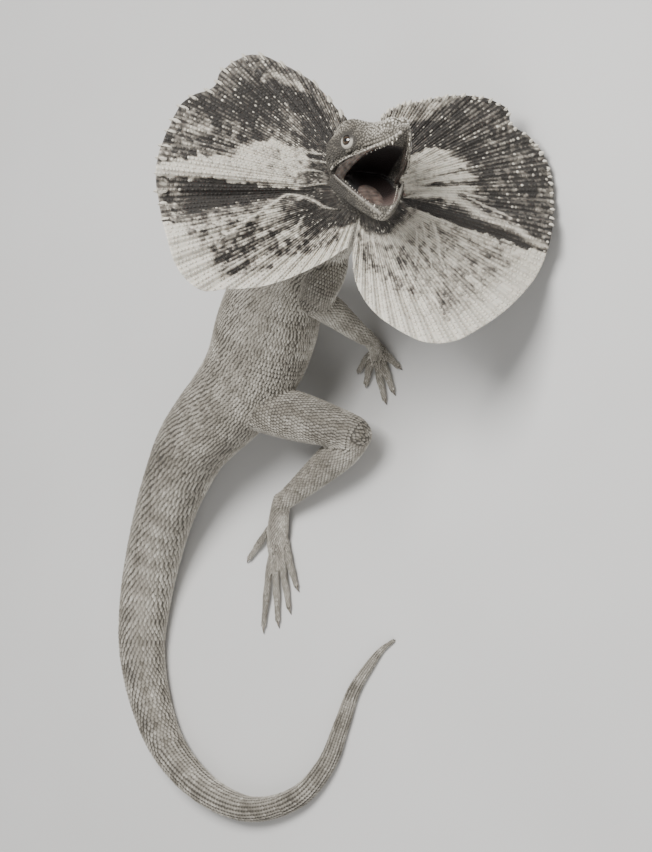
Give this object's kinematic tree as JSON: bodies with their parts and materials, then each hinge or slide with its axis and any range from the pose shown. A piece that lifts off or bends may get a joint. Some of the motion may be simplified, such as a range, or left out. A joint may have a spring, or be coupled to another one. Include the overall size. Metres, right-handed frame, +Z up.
{
  "type": "frilled lizard model",
  "caption": "Still life-size frilled lizard on four feet, mouth open, neck frill spread wide, long tail curled on the floor.",
  "frame": {"origin": "middle of the whole box's underside, on the floor that the feet and tail rest on", "axes": "+X the way the trunk heads, +Y the lizard's left side, +Z up"},
  "size_m": [0.4194, 0.2182, 0.1869],
  "materials": {
    "skin": "dry matte scales",
    "frill": "thin dry skin, cream with charcoal mottling",
    "mouth": "moist skin",
    "eye": "wet gloss"
  },
  "bodies": {
    "root": {"tail_tip": "skin", "tail_end": "skin", "tail_middle": "skin", "tail_base": "skin", "torso": "skin", "neck": "skin", "head": "skin", "lower_jaw": "mouth", "eye_right": "eye", "eye_left": "eye", "frill_right": "frill", "frill_left": "frill", "upper_arm_right": "skin", "forearm_right": "skin", "hand_right": "skin", "upper_arm_left": "skin", "forearm_left": "skin", "hand_left": "skin", "thigh_right": "skin", "shin_right": "skin", "foot_right": "skin", "thigh_left": "skin", "shin_left": "skin", "foot_left": "skin"}
  },
  "joints": []
}
